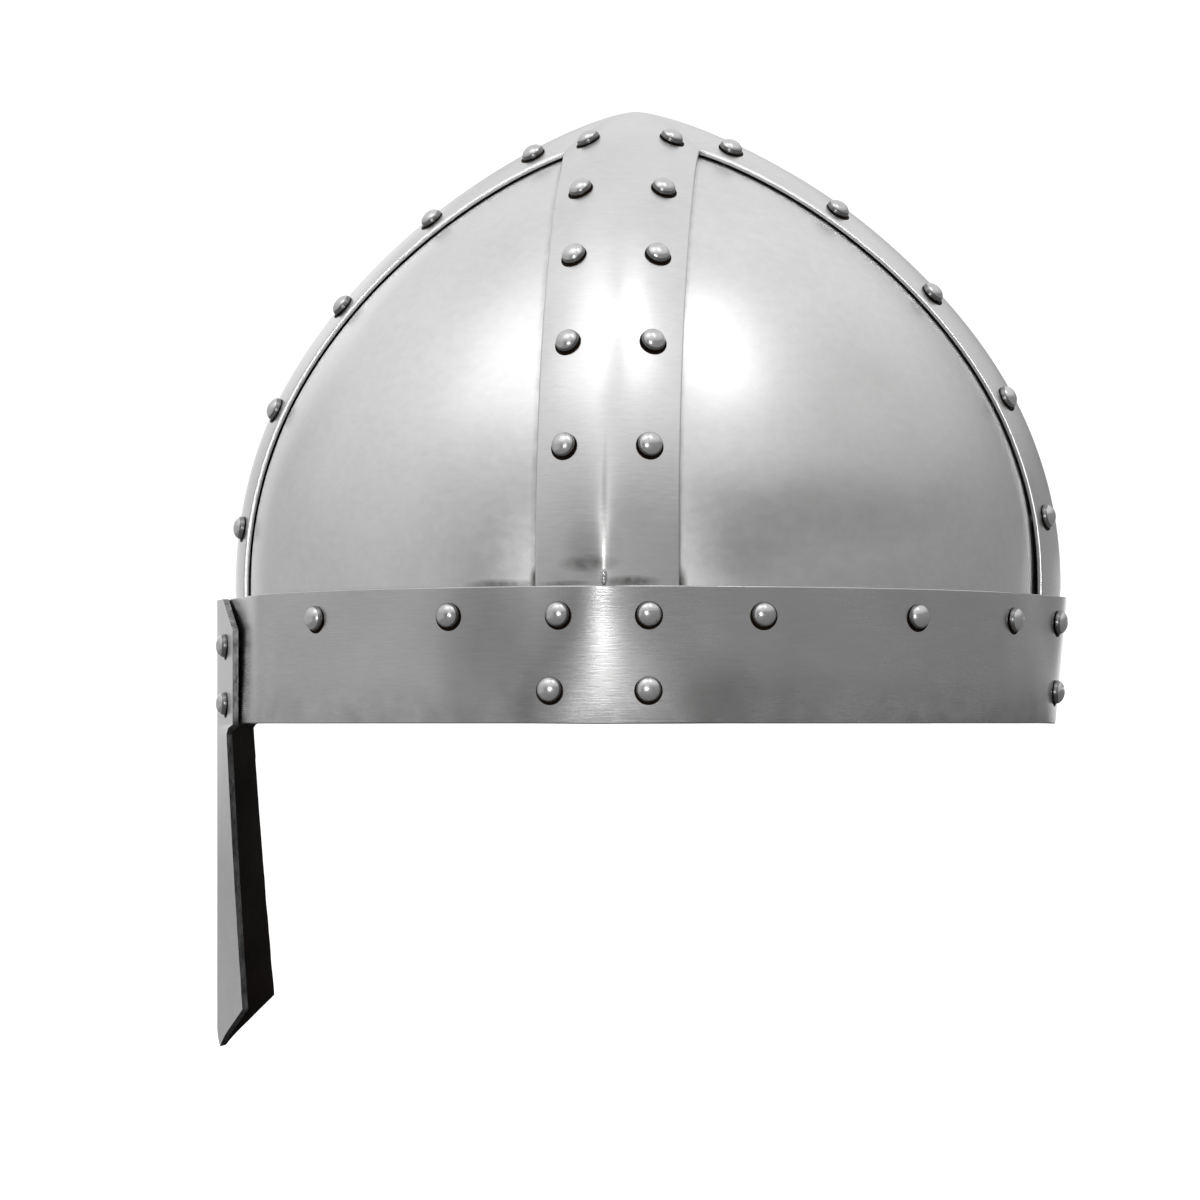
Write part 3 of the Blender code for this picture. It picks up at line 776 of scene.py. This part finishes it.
def addShadowRing(mesh, stand, axis):
    # a painted shadow: a thin dark ring under the head, a little lower than it, in the dark inside finish
    level = Vector((0, 0, 1))
    uphill = axis.cross(level.cross(axis)).normalized() if abs(axis.z) < 0.99 else level
    lowered = Matrix.Translation(axis * rivetDetail["shadowRingLift"] - uphill * rivetDetail["shadowRingDrop"]) @ stand
    circle = {"cap_ends": True, "segments": rivetDetail["sides"], "radius": rivetDetail["shadowRing"]}
    shadowRing = bmesh.ops.create_circle(mesh, **circle)
    bmesh.ops.transform(mesh, matrix=lowered, verts=shadowRing["verts"])
    for face in {face for vert in shadowRing["verts"] for face in vert.link_faces}:
        face.material_index = 1


def chance(order, use):
    # a steady random share for each rivet
    step, second, third = rivetDetail["chances"][use]
    return noise.noise(Vector((order * step, second, third)))


def makeRivet(name, place, trees, order):
    seat, axis = place
    swell = 1 + rivetDetail["swell"] * chance(order, "swell")
    mesh = turnedMesh(rivetProfile(gripThrough(trees, seat, axis), swell))
    lean = radians(rivetDetail["lean"])
    stand = Matrix.Translation(seat) @ axis.to_track_quat("Z", "Y").to_matrix().to_4x4()
    tipped = Matrix.Rotation(lean * chance(order, "leanOver"), 4, "X")
    tipped = tipped @ Matrix.Rotation(lean * chance(order, "leanAside"), 4, "Y")
    mesh.transform(stand @ tipped)
    addShadowRing(mesh, stand, axis)
    rivet = pieceFrom(name, mesh, [rivetSteel, darkInsideAndShadowRing, rivetRim])
    rivet.data.set_sharp_from_angle(angle=radians(rivetDetail["crisp"]))
    return rivet


def spangenPlaces():
    arms = {"left": ("side", -1), "right": ("side", 1), "front": ("front", -1), "back": ("back", 1)}
    for arm, (table, sense) in arms.items():
        for row, climb in enumerate(spangenRows[table], 1):
            share, height = levelAt(radians(climb))
            for column, side in (("a", -1), ("b", 1)):
                across = side * rivetDetail["column"] / crown["meanReach" if table == "side" else "halfWidth"]
                along = sense * (share**2 - across**2) ** 0.5
                fore, wide = (across, along) if table == "side" else (along, across)
                yield f"rivet_{arm}_{row}{column}", crownSeat(frameTree, fore, wide, height)


def nasalPlaces():
    for row, height in nasalRivets.items():
        for column, side in (("a", -1), ("b", 1)):
            start = Vector((rivetDetail["nasalSearchFrom"], side * rivetDetail["nasalColumn"], height))
            yield f"rivet_nasal_{row}_{column}", seatOn(nasalTree, start, Vector((1, 0, 0)))


def bandPlace(angle, height):
    return crownSeat(bandTree, cos(angle), sin(angle), height)


def bandPlaces():
    for height, (before, behind) in zip(bandRivets["rows"], bandRivets["sides"]):
        for left in (-1, 1):
            yield bandPlace(left * (pi / 2 + asin(before / crown["meanReach"])), height)
            yield bandPlace(left * (pi / 2 - asin(behind / crown["meanReach"])), height)
            yield bandPlace(left * asin(rivetDetail["column"] / crown["halfWidth"]), height)
    for left in (-1, 1):
        for end, sense in (("front", 1), ("back", -1)):
            for degrees in bandRivets[end]:
                yield bandPlace(left * (pi / 2 + sense * radians(degrees)), bandRivets["rows"][0])


def rivetPlaces():
    # name, place, the sheets that it holds and the CAD node that it stands for
    for name, place in spangenPlaces():
        yield name, place, [frameTree, *plateTrees], name
    for name, place in nasalPlaces():
        yield name, place, [nasalTree, bandTree, frameTree], name
    for count, place in enumerate(bandPlaces(), 1):
        yield f"rivet_band_{count}", place, [bandTree, frameTree, *plateTrees], "brow_band"


for order, (name, place, trees, node) in enumerate(rivetPlaces(), 1):
    settle(makeRivet("fine_" + name, place, trees, order), "rivet_steel", node)
print(order, "rivets made")

# The level helmet is stood on the floor
for piece, slot, node in dressed:
    piece.data.transform(pose)
    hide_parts(node)
    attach(piece, "root")

# Camera, at the photograph's angle to the helmet
photoPixels = {"side": 1200, "focal": 3744, "eyeLine": 723.5}
cameraDetail = {"distance": 1.04, "turn": 5.0, "aside": 0.00984, "sensor": 36, "nearest": 0.01}
turn = radians(cameraDetail["turn"])
cameraData = bpy.data.cameras.new("camera")
cameraData.sensor_width = cameraDetail["sensor"]
cameraData.lens = cameraDetail["sensor"] * photoPixels["focal"] / photoPixels["side"]
cameraData.shift_y = photoPixels["eyeLine"] / photoPixels["side"] - 0.5
cameraData.clip_start = cameraDetail["nearest"]
camera = bpy.data.objects.new("camera", cameraData)
bpy.context.scene.collection.objects.link(camera)
across = Vector((cos(turn), sin(turn), 0))
towards = Vector((sin(turn), -cos(turn), 0))
axes = Matrix((across, Vector((0, 0, 1)), towards)).transposed().to_4x4()
spot = towards * cameraDetail["distance"] - across * cameraDetail["aside"]
camera.matrix_world = pose @ Matrix.Translation(spot) @ axes
bpy.context.scene.camera = camera

# Floor, backdrop and lights
studio = {
    "floor": 0.32, "floorSize": 30, "paintedGlowFrom": 0.835, "paintedGlowTo": 0.862, "wedgeFull": 0.20, "wedgeEnd": 0.26,
    "aheadFrom": 0.01, "behind": 1.15, "behindFrom": 0.93, "behindTo": 0.97,
    "high": 1.06, "lowTo": 0.16, "highFrom": 0.62, "aimHeight": 0.07,
}
# how bright the room is at eye height, from the helmet's front (0) past the camera (0.5) to its back (1)
horizon = (
    (0.0, 0.66), (0.10, 0.68), (0.17, 0.48), (0.23, 0.22), (0.33, 0.24), (0.41, 0.60),
    (0.50, 0.72), (0.56, 0.40), (0.62, 0.22), (0.85, 0.25), (1.0, 0.35),
)
white = (1, 1, 1, 1)
eye = camera.matrix_world.translation
right = camera.matrix_world.to_3x3() @ Vector((1, 0, 0))
forward = camera.matrix_world.to_3x3() @ Vector((0, 0, -1))

# Painted glow: seen flat along, ahead of the camera and within a wedge about its view, the floor emits white,
# so its far reach washes out to white
floorPaint = Shader(bpy.data.materials.new("paleFloor"))
where = floorPaint.node("ShaderNodeTexCoord", output="Object")
fromEye = floorPaint.vector("SUBTRACT", where, eye, "Vector")
ahead = floorPaint.along(fromEye, forward)
sideways = abs(floorPaint.along(fromEye, right) / ahead)
facing = floorPaint.node("ShaderNodeLayerWeight", inputs={"Blend": 0.5}, output="Facing")
paintedGlow = floorPaint.ramp(facing, studio["paintedGlowFrom"], studio["paintedGlowTo"])
paintedGlow = paintedGlow * (1 - floorPaint.ramp(sideways, studio["wedgeFull"], studio["wedgeEnd"]))
paintedGlow = paintedGlow * floorPaint.ramp(ahead, 0.0, studio["aheadFrom"])
floorPaint.surface(Base_Color=grey(studio["floor"]), Roughness=0.9)
floorPaint.surface(Emission_Strength=1.0, Emission_Color=paintedGlow)
floorMesh = bmesh.new()
bmesh.ops.create_grid(floorMesh, x_segments=1, y_segments=1, size=studio["floorSize"])
floor = pieceFrom("floor", floorMesh, [floorPaint.owner])

bpy.context.scene.world = bpy.data.worlds.new("studio")
room = Shader(bpy.context.scene.world, "Generated")
way = room.place()
eyeLevel = room.steps(0.5 + 0.5 * room.along(way, (1, 0, 0)), *horizon)
climb = room.ramp(room.along(way, (0, 0, 1)), studio["lowTo"], studio["highFrom"])
behind = room.ramp(room.along(way, -towards), studio["behindFrom"], studio["behindTo"])
glow = eyeLevel + climb * (studio["high"] - eyeLevel)
glow = glow + behind * (studio["behind"] - glow)
room.feed(room.nodes["Background"].inputs["Color"], white)
room.feed(room.nodes["Background"].inputs["Strength"], glow)

lights = [  # name, turn from the camera's side and climb in degrees, distance, width, height, power
    ("leftSoftbox", -40, 56, 1.5, 0.9, 0.9, 1.9),
    ("rightSoftbox", 34, 60, 1.5, 0.35, 0.7, 1.5),
    ("topSoftbox", -14, 60, 1.5, 0.6, 0.6, 0.7),
    ("backLeft", -148, 12, 1.5, 0.6, 0.9, 1.1),
    ("strip", -6, 1, 1.6, 0.30, 0.24, 4.3),
]
aim = Vector((0, 0, studio["aimHeight"]))
for name, turned, climbed, distance, width, depth, power in lights:
    data = bpy.data.lights.new(name, "AREA")
    data.shape = "RECTANGLE"
    data.size = width
    data.size_y = depth
    data.energy = power
    light = bpy.data.objects.new(name, data)
    bpy.context.scene.collection.objects.link(light)
    aside, up = radians(turned), radians(climbed)
    out = Vector((sin(aside) * cos(up), -cos(aside) * cos(up), sin(up))) * distance
    aimed = out.to_track_quat("Z", "Y").to_matrix().to_4x4()
    light.matrix_world = pose @ Matrix.Translation(aim + out) @ aimed
bpy.context.scene.view_settings.view_transform = "Standard"
print("studio made")
